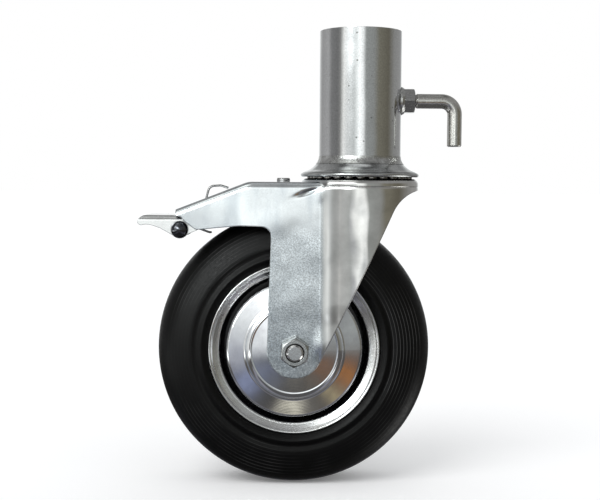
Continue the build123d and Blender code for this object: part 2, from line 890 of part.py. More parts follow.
def tyre():
    """Solid rubber tyre, seated in the rim, its walls swelling past the flanges, a rib at each foot."""
    seat = rim_seat_radius + fit_play
    toe = 0.75 * rim_sheet
    bead = rim_half_width - rim_flange_fall - rim_sheet - bead_gap
    flank = bead + 0.8 * rim_flange_fall
    start = rim_lip_radius + 0.2
    width = wheel_width / 2 - 0.1
    band = wheel_radius - start
    right = [
        (start, rim_half_width - bead_gap),
        (start + 0.07 * band, width - 3 * tyre_rib),
        (start + 0.15 * band, width - 2 * tyre_rib),
        (start + 0.21 * band, width - 2.7 * tyre_rib),
        (start + 0.3 * band, width - tyre_rib),
        (start + 0.46 * band, width),
        (start + 0.74 * band, width - 0.04 * width),
        (start + 0.91 * band, width - 0.2 * width),
        (start + 0.985 * band, width - 0.52 * width),
        (wheel_radius, 0),
    ]
    left = [(r, -y) for r, y in reversed(right[:-1])]
    foot = [
        (start, -right[0][1]),
        (start, -flank),
        (seat + toe, -bead),
        (seat, toe - bead),
        (seat, bead - toe),
        (seat + toe, bead),
        (start, flank),
        right[0],
    ]
    edges = [Spline(*right, *left).edge()]
    edges += [Edge.make_line(a, b) for a, b in zip(foot, foot[1:])]
    return wheel_turned(Face(Wire(edges)))


def weld_nut():
    start = tube_radius + weld_nut_stand
    nut = hexagon((start, 0, screw_height), (1, 0, 0), weld_nut_flats, weld_nut_face - start, 30)
    return nut - rod((0, 0, screw_height), (1, 0, 0), screw_thread_radius, 3 * tube_radius)


def nut_weld(tube, nut):
    """Bead that joins the nut to the tube."""
    corner = weld_nut_flats / math.sqrt(3)
    top = tube_radius + weld_nut_stand
    face = outline(
        (0, tube_radius - 2 * nut_weld_size),
        (corner + nut_weld_size, tube_radius - 2 * nut_weld_size),
        (corner + nut_weld_size, tube_radius + 0.3 * nut_weld_size),
        ((corner + 0.3 * nut_weld_size, top - 0.4), (corner - 0.8 * nut_weld_size, top + nut_weld_size)),
        (0, top + nut_weld_size),
    )
    bead = turned_x(face)
    hole = rod((0, 0, screw_height), (1, 0, 0), screw_thread_radius + 0.4, 3 * tube_radius)
    inside = extrude(Circle(tube_radius), tube_length)
    return one(bead - hole - nut - inside - tube)


def locking_screw():
    """Rod bent down into a handle, with a threaded end that runs through the nut."""
    start = bore_radius + screw_tip_inset
    neck = weld_nut_face + thread_shown
    radius = screw_thread_radius - screw_play
    thread = turned_x(
        outline(
            (0, start),
            (radius - screw_chamfer, start),
            (radius, start + screw_chamfer),
            (radius, neck),
            (0, neck),
        )
    )
    path = FilletPolyline(
        (neck, 0, screw_height),
        (screw_reach, 0, screw_height),
        (screw_reach, 0, screw_height - screw_drop),
        radius=screw_bend,
    )
    section = Plane(origin=path @ 0, z_dir=path % 0) * Circle(screw_rod_radius)
    handle = sweep(section, path=path)
    end = handle.edges().filter_by(GeomType.CIRCLE).sort_by(Axis.Z)[0]
    handle = chamfer(end, screw_chamfer)
    collar = handle.edges().filter_by(GeomType.CIRCLE).sort_by(Axis.X)[0]
    handle = chamfer(collar, screw_chamfer / 2)
    return thread + handle


def turned_x(face):
    """A face of radius and distance along +X, turned about the locking screw's axis."""
    return Plane(origin=(0, 0, screw_height), x_dir=(0, 1, 0), z_dir=(1, 0, 0)) * turned(face)


def build():
    tube = socket_tube()
    nut = weld_nut()
    return {
        "socket_tube": tube,
        "swivel_bell": turned(bell_face()),
        "base_weld": base_weld(tube),
        "weld_nut": nut,
        "nut_weld": nut_weld(tube, nut),
        "kingpin": kingpin(),
        "lower_race": lower_race(),
        "swivel_lock_ring": lock_ring(),
        "upper_balls": ball_row(upper_ball_count, upper_pitch_radius, -race_drop),
        "lower_balls": ball_row(lower_ball_count, lower_pitch_radius, lower_ball_z),
        "locking_screw": locking_screw(),
        "fork": fork(),
        "brake_rivet": brake_rivet(),
        "wire_spring": wire_spring(),
        "axle_bolt": axle_bolt(),
        "axle_nut": axle_nut(),
        "axle_sleeve": axle_sleeve(),
        "thread_guard_near": thread_guard(-1),
        "thread_guard_far": thread_guard(1),
        "tyre": tyre(),
        "rim_half_near": rim_half(-1),
        "rim_half_far": rim_half(1),
        "rim_rivets": rim_rivets(),
        "hub_tube": hub_tube(),
        "roller_cage": roller_cage(),
        "hub_rollers": roller_row(),
        "brake_lever": brake_lever(),
        "brake_shoe": brake_shoe(),
        "pedal": pedal(),
        "pedal_pin": pedal_pin(),
    }


os.makedirs("parts", exist_ok=True)
for name, shape in build().items():
    export_step(shape, "parts/" + name + ".step")
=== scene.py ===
import json
import math

import bpy
import numpy as np
from mathutils import Matrix, Vector


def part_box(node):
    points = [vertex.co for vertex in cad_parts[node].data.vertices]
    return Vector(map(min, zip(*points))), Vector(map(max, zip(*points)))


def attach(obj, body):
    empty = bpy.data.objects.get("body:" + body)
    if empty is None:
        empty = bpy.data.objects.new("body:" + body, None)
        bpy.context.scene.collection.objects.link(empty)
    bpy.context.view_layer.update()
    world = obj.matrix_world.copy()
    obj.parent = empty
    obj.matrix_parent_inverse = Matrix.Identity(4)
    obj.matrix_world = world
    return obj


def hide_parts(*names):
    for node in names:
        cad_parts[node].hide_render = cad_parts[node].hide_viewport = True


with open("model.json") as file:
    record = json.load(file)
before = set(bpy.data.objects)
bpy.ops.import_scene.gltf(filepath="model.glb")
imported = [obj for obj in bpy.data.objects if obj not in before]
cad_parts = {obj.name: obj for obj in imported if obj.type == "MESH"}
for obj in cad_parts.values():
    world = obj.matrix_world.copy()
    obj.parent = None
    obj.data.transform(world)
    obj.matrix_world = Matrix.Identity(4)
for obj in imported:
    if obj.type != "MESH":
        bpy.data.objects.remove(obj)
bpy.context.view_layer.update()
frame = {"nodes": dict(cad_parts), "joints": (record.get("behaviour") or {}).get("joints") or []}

# Everything is in metres, in the frame of the part: +Z up, the socket's seat at the origin.
MM = 0.001
JOINT = {joint["name"]: joint for joint in frame["joints"]}
AXLE = Vector(JOINT["wheel_spin"]["pos_m"])
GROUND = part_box("tyre")[0].z

# The camera's place, its aim in degrees, and its focal length and sensor width in millimetres.
CAMERA_PLACE = (-0.0663, -0.834, -0.0199)
CAMERA_TURN = 1.54
CAMERA_DIP = 3.30
CAMERA_ROLL = 0.40
CAMERA_LENS = 67.3
CAMERA_SENSOR = 36

# What the bright metal mirrors at the height of the eye: compass angle from straight ahead of the
# near face, positive to the right, and how light the studio is there.
STUDIO_BANDS = [
    (-180, (1.1, 1.12, 1.12)),
    (-158, (0.6, 0.61, 0.61)),
    (-140, (0.38, 0.38, 0.38)),
    (-106, (0.46, 0.46, 0.46)),
    (-92, (0.24, 0.24, 0.24)),
    (-70, (0.2, 0.2, 0.2)),
    (-62, (0.3, 0.3, 0.29)),
    (-51, (1.05, 1.06, 1.03)),
    (-40, (0.76, 0.78, 0.77)),
    (-22, (0.62, 0.65, 0.64)),
    (-7, (1.5, 1.55, 1.53)),
    (3, (1.2, 1.23, 1.22)),
    (11, (0.36, 0.38, 0.37)),
    (34, (0.31, 0.32, 0.31)),
    (48, (0.21, 0.2, 0.16)),
    (80, (0.15, 0.14, 0.11)),
    (104, (0.3, 0.3, 0.29)),
    (145, (0.36, 0.36, 0.36)),
    (160, (0.7, 0.72, 0.72)),
    (180, (1.1, 1.12, 1.12)),
]
# Above and below these bands, the height in degrees where the next colour begins and where it is full.
STUDIO_HEIGHTS = [
    (14, 30, (0.3, 0.3, 0.3)),
    (52, 72, (0.1, 0.1, 0.1)),
    (74, 84, (0.6, 0.61, 0.61)),
    (-6, -12, (0.1, 0.095, 0.09)),
    (-27, -33, (0.26, 0.26, 0.3)),
    (-38, -46, (0.1, 0.1, 0.1)),
]
# Cards and dark openings in the mirrored studio: compass angle and height of the middle, half
# width and half height, all in degrees, and the colour.
STUDIO_PATCHES = [
    (-48, 62, 30, 14, (1.7, 1.75, 1.7)),
    (-32, 22, 13, 9, (12.0, 12.5, 12.5)),
    (-72, -13, 24, 3.5, (3.5, 3.6, 3.6)),
    (100, -38, 20, 10, (3.4, 3.4, 3.3)),
    (-1, -10, 8, 6, (0.13, 0.16, 0.19)),
    (-16, -9, 6, 6, (0.46, 0.48, 0.53)),
    (-12, -18, 6, 4, (0.26, 0.3, 0.45)),
    (-5, -22, 6, 3, (0.07, 0.07, 0.06)),
    (1, -27.5, 4.5, 1.8, (1.1, 1.05, 0.85)),
    (1, -16.5, 2.6, 1.4, (0.5, 0.46, 0.36)),
    (16, -15, 3.5, 3.5, (0.5, 0.2, 0.05)),
    (8, -14, 1.8, 2, (0.3, 0.13, 0.04)),
    (12, -21, 4, 2, (0.5, 0.42, 0.25)),
]

# Dents and folds of the pressed fork, in millimetres on its side: middle, half sizes, tilt in
# degrees and height. A height below zero is a hollow.
FORK_DENTS = [
    ((-39, -24.5), (7.5, 1.5), 20, -1.3),
    ((-29, -26), (4, 6), 0, 0.6),
    ((-30, -135), (4, 8), 0, 0.6),
    ((-4, -42), (6, 12), 0, -0.45),
    ((4, -70), (7, 12), 0, 0.5),
    ((18, -30), (8, 8), 30, 0.5),
    ((-60, -45), (16, 9), 30, 0.3),
]
# A hollow deeper than this is painted with shade at its bottom.
SHADED_HOLLOW = -0.9
# The heights where the fork's leg goes over into its arm.
ARM_HEIGHTS = (-62 * MM, -44 * MM)

# Radii from the axle: the tyre's shoulder, where its wall turns away, the rim's well, painted black
# as shade, the rim's rolled bead, and the rings of the disc.
TYRE_SHOULDER = 68 * MM
RIM_WELL = (54.9 * MM, 55.3 * MM)
RIM_BEAD = 61.4 * MM
DISC_RINGS = (31.9 * MM, 35.7 * MM)

# The axle nut: width across its flats, radius of its bore, radius where the bore opens, and turn.
NUT_FLATS = 19 * MM
NUT_BORE = 6.05 * MM
NUT_SINK = 6.9 * MM
NUT_TURN = math.radians(26)

# The locking screw: length of thread beside its nut, radii of the thread's crest, of the rod and of
# the bend, pitch, and the bevels of both ends and of the rod's shoulder.
SCREW_SHOWN = 1.5 * MM
SCREW_CREST = 4.93 * MM
SCREW_ROD = 5.4 * MM
SCREW_BEND = 9.75 * MM
SCREW_PITCH = 1.5 * MM
SCREW_END_BEVEL = 0.9 * MM
SCREW_SHOULDER_BEVEL = 0.45 * MM
THREAD_ROWS = 150
# Depth of the thread, as a share of its pitch.
THREAD_DEPTH = 0.61

# An edge sharper than this isn't shaded smooth.
SHARP_EDGE = math.radians(28)


class Graph:
    """Short calls for the nodes of one material or world. A value may be a number or a socket."""

    def __init__(self, tree):
        self.tree = tree
        tree.nodes.clear()

    def new(self, kind, **settings):
        made = self.tree.nodes.new("ShaderNode" + kind)
        for name, value in settings.items():
            setattr(made, name, value)
        return made

    def put(self, socket, value):
        if isinstance(value, bpy.types.NodeSocket):
            self.tree.links.new(value, socket)
        elif value is not None:
            socket.default_value = value

    def math(self, operation, a, b=None):
        made = self.new("Math", operation=operation)
        for socket, value in zip(made.inputs, (a, b)):
            self.put(socket, value)
        return made.outputs[0]

    def vector(self, operation, a, b):
        made = self.new("VectorMath", operation=operation)
        for socket, value in zip(made.inputs, (a, b)):
            self.put(socket, value)
        return made.outputs["Vector"]

    def mix(self, share, a, b):
        made = self.new("Mix", data_type="RGBA")
        for name, value in (("Factor_Float", share), ("A_Color", a), ("B_Color", b)):
            socket = next(s for s in made.inputs if s.identifier == name)
            if isinstance(value, tuple):
                value = (*value, 1.0)
            self.put(socket, value)
        return next(s for s in made.outputs if s.identifier == "Result_Color")

    def ramp(self, share, stops):
        made = self.new("ValToRGB")
        elements = made.color_ramp.elements
        while len(elements) < len(stops):
            elements.new(0.5)
        for element, (place, colour) in zip(elements, stops):
            element.position = place
            element.color = (*colour, 1.0)
        self.put(made.inputs[0], share)
        return made.outputs[0]

    def map(self, value, low, high, to_low=0.0, to_high=1.0, smooth=False):
        made = self.new("MapRange", interpolation_type="SMOOTHSTEP" if smooth else "LINEAR")
        for name, given in (("Value", value), ("From Min", low), ("From Max", high),
                            ("To Min", to_low), ("To Max", to_high)):
            self.put(made.inputs[name], given)
        return made.outputs[0]

    def noise(self, place, scale, detail=3.0, rough=0.5):
        made = self.new("TexNoise")
        self.put(made.inputs["Vector"], place)
        made.inputs["Scale"].default_value = scale
        made.inputs["Detail"].default_value = detail
        made.inputs["Roughness"].default_value = rough
        return made.outputs["Fac"]

    def spots(self, place, scale, size, share):
        """Round spots of a size, in a share of the cells of a random pattern."""
        made = self.new("TexVoronoi")
        self.put(made.inputs["Vector"], place)
        made.inputs["Scale"].default_value = scale
        near = self.map(made.outputs["Distance"], size, size * 0.5)
        pick = self.math("LESS_THAN", self.split(made.outputs["Color"])[0], share)
        return self.math("MULTIPLY", near, pick)

    def hump(self, across, up, middle, size, tilt=0.0):
        """A soft hump: e to the minus squared distance from its middle, counted in its sizes."""
        run = self.math("SUBTRACT", across, middle[0])
        rise = self.math("SUBTRACT", up, middle[1])
        cos, sin = math.cos(tilt), math.sin(tilt)
        long = self.math("ADD", self.math("MULTIPLY", run, cos / size[0]),
                         self.math("MULTIPLY", rise, sin / size[0]))
        wide = self.math("ADD", self.math("MULTIPLY", run, -sin / size[1]),
                         self.math("MULTIPLY", rise, cos / size[1]))
        squares = self.math("ADD", self.math("MULTIPLY", long, long), self.math("MULTIPLY", wide, wide))
        return self.math("EXPONENT", self.math("MULTIPLY", squares, -1.0))

    def hidden(self, reach):
        """How open the surface is within a reach, 1 in the open and 0 deep in a corner."""
        made = self.new("AmbientOcclusion", samples=8)
        made.inputs["Distance"].default_value = reach
        return made.outputs["AO"]

    def place(self, centre=(0, 0, 0), stretch=(1, 1, 1)):
        """The point on the piece, moved so that centre is the origin, then stretched."""
        here = self.new("TexCoord").outputs["Object"]
        moved = self.vector("SUBTRACT", here, tuple(centre))
        made = self.new("Mapping")
        self.put(made.inputs["Vector"], moved)
        made.inputs["Scale"].default_value = stretch
        return made.outputs[0]

    def bump(self, height, distance, normal=None):
        made = self.new("Bump")
        made.inputs["Strength"].default_value = 1.0
        made.inputs["Distance"].default_value = distance
        self.put(made.inputs["Height"], height)
        self.put(made.inputs["Normal"], normal)
        return made.outputs[0]

    def rounded_edges(self, radius):
        made = self.new("Bevel", samples=6)
        made.inputs["Radius"].default_value = radius
        return made.outputs[0]

    def split(self, vector):
        made = self.new("SeparateXYZ")
        self.put(made.inputs[0], vector)
        return made.outputs

    def finish(self, **sockets):
        """The surface itself: names of the Principled shader's sockets and what goes in."""
        shader = self.new("BsdfPrincipled")
        for name, value in sockets.items():
            if isinstance(value, tuple):
                value = (*value, 1.0)
            self.put(shader.inputs[name.replace("_", " ")], value)
        out = self.new("OutputMaterial")
        self.tree.links.new(shader.outputs[0], out.inputs[0])


def material(name):
    made = bpy.data.materials.new(name)
    made.use_nodes = True
    return made, Graph(made.node_tree)


def studio_camera():
    """The photograph's viewpoint."""
    turn, dip, roll = (math.radians(a) for a in (CAMERA_TURN, CAMERA_DIP, CAMERA_ROLL))
    ahead = Vector((math.cos(dip) * math.sin(turn), math.cos(dip) * math.cos(turn), -math.sin(dip)))
    level = Vector((math.cos(turn), -math.sin(turn), 0))
    above = level.cross(ahead)
    right = math.cos(roll) * level + math.sin(roll) * above
    up = math.cos(roll) * above - math.sin(roll) * level
    data = bpy.data.cameras.new("camera")
    data.sensor_width = CAMERA_SENSOR
    data.lens = CAMERA_LENS
    data.clip_start = 0.01
    camera = bpy.data.objects.new("camera", data)
    bpy.context.scene.collection.objects.link(camera)
    turned = Matrix((right, up, -ahead)).transposed().to_4x4()
    camera.matrix_world = Matrix.Translation(CAMERA_PLACE) @ turned
    bpy.context.scene.camera = camera


def studio_world():
    """White to the eye, an even soft light on everything, and pale and grey bands in the metal."""
    world = bpy.data.worlds.new("studio")
    world.use_nodes = True
    g = Graph(world.node_tree)
    x, y, z = g.split(g.new("TexCoord").outputs["Generated"])
    compass = g.math("MULTIPLY", g.math("ARCTAN2", x, g.math("MULTIPLY", y, -1.0)), 180 / math.pi)
    height = g.math("MULTIPLY", g.math("ARCSINE", z), 180 / math.pi)
    share = g.map(compass, -180, 180)
    mirrored = g.ramp(share, [((angle + 180) / 360, colour) for angle, colour in STUDIO_BANDS])
    for begin, full, colour in STUDIO_HEIGHTS:
        mirrored = g.mix(g.map(height, begin, full, smooth=True), mirrored, colour)
    for across, up, half_width, half_height, colour in STUDIO_PATCHES:
        mirrored = g.mix(g.hump(compass, height, (across, up), (half_width, half_height)), mirrored, colour)
    path = g.new("LightPath")
    plain = g.mix(path.outputs["Is Glossy Ray"], (0.76, 0.77, 0.78), mirrored)
    seen = g.mix(path.outputs["Is Camera Ray"], plain, (1.0, 1.0, 1.0))
    back = g.new("Background")
    g.put(back.inputs["Color"], seen)
    out = g.new("OutputWorld")
    g.tree.links.new(back.outputs[0], out.inputs[0])
    bpy.context.scene.world = world


def studio_sun(name, azimuth, height, strength, spread):
    """A large soft lamp: azimuth from straight ahead of the near face, positive to the right."""
    data = bpy.data.lights.new(name, "SUN")
    data.energy = strength
    data.angle = math.radians(spread)
    lamp = bpy.data.objects.new(name, data)
    a, h = math.radians(azimuth), math.radians(height)
    source = Vector((math.sin(a) * math.cos(h), -math.cos(a) * math.cos(h), math.sin(h)))
    lamp.rotation_mode = "QUATERNION"
    lamp.rotation_quaternion = source.to_track_quat("Z", "Y")
    bpy.context.scene.collection.objects.link(lamp)
    lamp.visible_glossy = False


def studio_floor():
    """A white floor that the eye sees with its shadow, and the bright metal doesn't mirror."""
    side = 30.0
    mesh = bpy.data.meshes.new("floor")
    corners = [(-side, -side, GROUND), (side, -side, GROUND), (side, side, GROUND), (-side, side, GROUND)]
    mesh.from_pydata(corners, [], [(0, 1, 2, 3)])
    floor = bpy.data.objects.new("floor", mesh)
    bpy.context.scene.collection.objects.link(floor)
    made, g = material("pale_floor")
    eye = g.new("LightPath").outputs["Is Camera Ray"]
    g.finish(Base_Color=(0.95, 0.95, 0.95), Roughness=1.0, Specular_IOR_Level=0.0,
             Emission_Color=(1.0, 1.0, 1.0), Emission_Strength=g.math("MULTIPLY", eye, 0.12))
    mesh.materials.append(made)
    floor.visible_glossy = False


def dress(node, made):
    """Gives a CAD node its finish."""
    piece = frame["nodes"][node]
    piece.data.materials.clear()
    piece.data.materials.append(made)


def zinc(name, colour, rough=0.15, speckle=0.2, mottle=0.15, waves=0.0, edge=0.35, marks=0.0, dents=(),
         race_shade=None, smooth_from=None):
    """Zinc plated steel: fine crystals, clouds and marks in the plating, waves and dents in the sheet.

    Painted shade in the swivel's ball race is given as a radius about the swivel and a lowest and highest
    height, between which the metal is painted black.
    From the place smooth_from on, along X, the sheet is stretched: smoother, darker and with less grain,
    with painted shade on the head's left, a painted highlight towards its right and along its bend."""
    made, g = material(name)
    here = g.place()
    x, y, z = g.split(here)
    fine = g.noise(here, 1450, detail=1.0, rough=0.5)
    clouds = g.noise(here, 60, detail=5.0, rough=0.6)
    dark = tuple(c * 0.5 for c in colour)
    light = tuple(min(1.0, c * 1.1) for c in colour)
    if smooth_from is not None:
        stretched = g.map(x, (smooth_from - 3) * MM, (smooth_from + 3) * MM, smooth=True)
        arm = g.map(z, *ARM_HEIGHTS, smooth=True)
        drawn = g.math("MAXIMUM", stretched, g.math("MULTIPLY", arm, 0.85))
        speckle = g.map(drawn, 0.0, 1.0, speckle, 0.08)
    low, high = g.math("SUBTRACT", 0.5, speckle), g.math("ADD", 0.5, speckle)
    base = g.mix(g.map(fine, 0.3, 0.7, low, high), dark, light)
    base = g.mix(g.map(clouds, 0.4, 0.65, 0.0, mottle), base, dark)
    if marks:
        nicks = g.spots(here, 190, 0.16, marks)
        base = g.mix(g.math("MULTIPLY", nicks, 0.8), base, (0.12, 0.12, 0.11))
    # Painted shade: corners and crevices, where little light reaches, are painted darker.
    base = g.mix(g.map(g.hidden(2.5 * MM), 0.75, 0.35, 0.0, 0.8), base, (0.1, 0.1, 0.095))
    swell = waves * MM
    if smooth_from is not None:
        swell = g.map(stretched, 0.0, 1.0, waves * 0.45 * MM, waves * MM)
    height = g.math("MULTIPLY", g.noise(here, 32, detail=1.5, rough=0.4), swell)
    if smooth_from is not None:
        fold = g.map(x, (smooth_from + 0.5) * MM, (smooth_from + 11) * MM, 1.5 * MM, 0.0, smooth=True)
        height = g.math("ADD", height, fold)
    for middle, size, tilt, depth in dents:
        spot = g.hump(x, z, tuple(c * MM for c in middle), tuple(c * MM for c in size), math.radians(tilt))
        height = g.math("ADD", height, g.math("MULTIPLY", spot, depth * MM))
        # Painted shade: the bottom of a deep hollow is painted dark.
        if depth < SHADED_HOLLOW:
            base = g.mix(g.math("MULTIPLY", spot, 0.9), base, (0.05, 0.05, 0.045))
    normal = g.bump(height, 1.0, normal=g.rounded_edges(edge * MM))
    normal = g.bump(g.math("MULTIPLY", fine, speckle), 0.05 * MM, normal=normal)
    roughness = g.map(clouds, 0.3, 0.7, rough * 0.85, rough * 1.25)
    metallic = 1.0
    if smooth_from is not None:
        pale = tuple(c * 0.64 for c in (0.96, 0.94, 0.92))
        dull = tuple(c * 0.48 for c in (0.97, 0.95, 0.92))
        even = g.mix(g.map(clouds, 0.35, 0.7), pale, dull)
        # Painted sheen: the arm is painted paler than the leg, and its darker vertical streaks are painted
        # shade of its waves.
        base = g.mix(g.math("MULTIPLY", arm, 0.5), base, (0.96, 0.99, 1.0))
        streaks = g.noise(g.place(stretch=(1.0, 1.0, 0.3)), 75, detail=2.5)
        streaks = g.math("MULTIPLY", g.map(streaks, 0.45, 0.68, 0.0, 0.6), arm)
        base = g.mix(streaks, base, (0.55, 0.6, 0.64))
        # Painted shade and highlight: the stretched head is painted darker on its left and lighter towards
        # its highlight on the right.
        even = g.vector("MULTIPLY", even, g.map(x, -24 * MM, 2 * MM, 0.6, 1.35))
        base = g.mix(g.math("MULTIPLY", stretched, 0.9), base, even)
        # Painted highlight: a pale band along the bend between the leg and the head.
        bend = g.hump(x, 0.0, ((smooth_from + 3) * MM, 0.0), (2.6 * MM, 1.0))
        base = g.mix(g.math("MULTIPLY", bend, 0.55), base, (0.95, 0.97, 0.98))
        roughness = g.math("MULTIPLY", roughness, g.map(stretched, 0.0, 1.0, 1.0, 0.4))
    # Painted shade: in the gap of the swivel's ball race, on the fork's top and under the bell, the metal
    # is painted black without its sheen.
    if race_shade:
        radius = g.math("SQRT", g.math("ADD", g.math("MULTIPLY", x, x), g.math("MULTIPLY", y, y)))
        reach, lowest, highest = (v * MM for v in race_shade)
        inside = g.math("MULTIPLY", g.math("LESS_THAN", radius, reach), g.math("GREATER_THAN", z, lowest))
        inside = g.math("MULTIPLY", inside, g.math("LESS_THAN", z, highest))
        base = g.mix(inside, base, (0.008, 0.008, 0.007))
        metallic = g.math("SUBTRACT", 1.0, inside)
    g.finish(Base_Color=base, Metallic=metallic, Roughness=roughness, Normal=normal)
    return made


def dark_steel(name, colour, rough=0.3):
    made, g = material(name)
    here = g.place()
    fine = g.noise(here, 900, detail=3.0)
    base = g.mix(g.map(fine, 0.3, 0.7), tuple(c * 0.75 for c in colour), tuple(c * 1.25 for c in colour))
    normal = g.bump(fine, 0.01 * MM, normal=g.rounded_edges(0.4 * MM))
    g.finish(Base_Color=base, Metallic=1.0, Roughness=rough, Normal=normal)
    return made


def pin_steel():
    """Dark rolled steel of the pedal's pin, its heads more domed than their shape."""
    made, g = material("pin_steel")
    here = g.place(JOINT["pedal_press"]["pos_m"])
    x, _, z = g.split(here)
    dome = g.hump(x, z, (0.0, 0.0), (4.5 * MM, 4.5 * MM))
    fine = g.noise(here, 500, detail=3.0)
    base = g.mix(g.map(fine, 0.3, 0.7), (0.07, 0.075, 0.085), (0.15, 0.155, 0.17))
    normal = g.bump(dome, 2.4 * MM, normal=g.rounded_edges(0.5 * MM))
    g.finish(Base_Color=base, Metallic=1.0, Roughness=0.1, Normal=normal)
    return made


def weld_metal():
    """Weld under plating: dull, with ripples and spatter."""
    made, g = material("weld_metal")
    here = g.place()
    rough = g.noise(here, 330, detail=6.0, rough=0.65)
    base = g.mix(g.map(rough, 0.35, 0.65), (0.42, 0.42, 0.41), (0.72, 0.73, 0.72))
    normal = g.bump(rough, 0.22 * MM)
    g.finish(Base_Color=base, Metallic=1.0, Roughness=g.map(rough, 0.3, 0.7, 0.3, 0.2), Normal=normal)
    return made


def from_axle(g, here):
    """Distance from the axle's line, for a point counted from the axle."""
    x, _, z = g.split(here)
    return g.math("SQRT", g.math("ADD", g.math("MULTIPLY", x, x), g.math("MULTIPLY", z, z)))


def tyre_rubber():
    """Black rubber with the mould's fine rings on its walls."""
    made, g = material("tyre_rubber")
    here = g.place(AXLE)
    radius = from_axle(g, here)
    uneven = g.noise(here, 18, detail=2.0)
    rings = g.math("SINE", g.math("MULTIPLY", radius, 2 * math.pi / (2.4 * MM)))
    sharp = g.map(rings, 0.82, 1.0, smooth=True)
    zone = g.math("MULTIPLY", g.map(radius, 71 * MM, 73 * MM), g.map(radius, 94 * MM, 91 * MM))
    zone = g.math("MULTIPLY", zone, g.map(uneven, 0.45, 0.65, 0.05, 1.0))
    moulded = g.math("MULTIPLY", sharp, zone)
    grain = g.noise(here, 600, detail=4.0)
    beyond = g.math("MAXIMUM", g.math("SUBTRACT", radius, TYRE_SHOULDER), 0.0)
    normal = g.bump(g.math("MULTIPLY", beyond, -0.33), 1.0)
    normal = g.bump(moulded, 0.08 * MM, normal=normal)
    normal = g.bump(grain, 0.05 * MM, normal=normal)
    dust = g.noise(here, 35, detail=4.0)
    base = g.mix(g.map(dust, 0.4, 0.75), (0.0006, 0.0006, 0.0006), (0.0016, 0.0016, 0.0016))
    # Painted sheen: the mould's rings are painted lighter than the rubber.
    base = g.mix(g.math("MULTIPLY", moulded, 0.5), base, (0.13, 0.13, 0.13))
    g.finish(Base_Color=base, Roughness=g.map(grain, 0.3, 0.7, 0.36, 0.5), Normal=normal,
             Specular_IOR_Level=0.22)
    return made


def rim_metal():
    """Plated rim, its well painted black as shade."""
    made, g = material("rim_metal")
    here = g.place(AXLE)
    radius = from_axle(g, here)
    fine = g.noise(here, 1100, detail=3.0, rough=0.6)
    clouds = g.noise(here, 90, detail=4.0)
    plated = g.mix(g.map(fine, 0.35, 0.65), (0.74, 0.75, 0.75), (0.9, 0.91, 0.92))
    plated = g.mix(g.map(clouds, 0.4, 0.65, 0.0, 0.4), plated, (0.5, 0.49, 0.46))
    outside = g.map(radius, *RIM_WELL)
    # Painted shade: inside its well the rim is painted black, without metal sheen.
    base = g.mix(outside, (0.01, 0.01, 0.012), plated)
    bead = g.hump(radius, 0.0, (RIM_BEAD, 0.0), (1.3 * MM, 1.0))
    normal = g.bump(bead, 0.5 * MM)
    normal = g.bump(fine, 0.012 * MM, normal=normal)
    g.finish(Base_Color=base, Metallic=outside, Roughness=g.map(clouds, 0.3, 0.7, 0.18, 0.3), Normal=normal)
    return made


def disc_metal():
    """Bright pressed disc with faint rings from its tool."""
    made, g = material("disc_metal")
    here = g.place(AXLE)
    radius = from_axle(g, here)
    clouds = g.noise(here, 50, detail=5.0, rough=0.6)
    waves = g.noise(here, 26, detail=1.5)
    rings = g.math("SINE", g.math("MULTIPLY", radius, 2 * math.pi / (1.1 * MM)))
    base = g.mix(g.map(clouds, 0.35, 0.7), (0.84, 0.85, 0.87), (0.64, 0.64, 0.67))
    normal = g.bump(waves, 0.5 * MM, normal=g.rounded_edges(0.4 * MM))
    for ring in DISC_RINGS:
        normal = g.bump(g.hump(radius, 0.0, (ring, 0.0), (0.7 * MM, 1.0)), 0.3 * MM, normal=normal)
    normal = g.bump(rings, 0.0015 * MM, normal=normal)
    g.finish(Base_Color=base, Metallic=1.0, Roughness=g.map(clouds, 0.3, 0.7, 0.07, 0.13), Normal=normal)
    return made


def nylon():
    made, g = material("nylon")
    fine = g.noise(g.place(), 400, detail=3.0)
    base = g.mix(fine, (0.78, 0.77, 0.72), (0.86, 0.85, 0.8))
    g.finish(Base_Color=base, Roughness=0.45, Normal=g.bump(fine, 0.01 * MM))
    return made


def surface(name, body, replaced, points, finish, ends=None):
    """A closed mesh of one grid of points, shaped (rows along v, columns along u, 3), u running round.

    Without ends the rows run round as well. With ends, two points, a fan closes each end of the grid."""
    rows, columns = points.shape[:2]
    strips = rows if ends is None else rows - 1
    row, column = np.meshgrid(np.arange(strips), np.arange(columns), indexing="ij")
    next_row, next_column = (row + 1) % rows, (column + 1) % columns
    corners = (row * columns + column, row * columns + next_column,
               next_row * columns + next_column, next_row * columns + column)
    faces = np.stack(corners, axis=-1).reshape(-1, 4).tolist()
    places = points.reshape(-1, 3).tolist()
    if ends is not None:
        around = np.arange(columns)
        after = (around + 1) % columns
        first = len(places)
        last = first + 1
        base = (rows - 1) * columns
        places += [list(end) for end in ends]
        faces += np.stack([around, np.full(columns, first), after], axis=-1).tolist()
        faces += np.stack([base + after, np.full(columns, last), base + around], axis=-1).tolist()
    mesh = bpy.data.meshes.new(name)
    mesh.from_pydata(places, [], faces)
    mesh.shade_smooth()
    mesh.set_sharp_from_angle(angle=SHARP_EDGE)
    mesh.materials.append(finish)
    piece = bpy.data.objects.new(name, mesh)
    bpy.context.scene.collection.objects.link(piece)
    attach(piece, body)
    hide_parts(replaced)


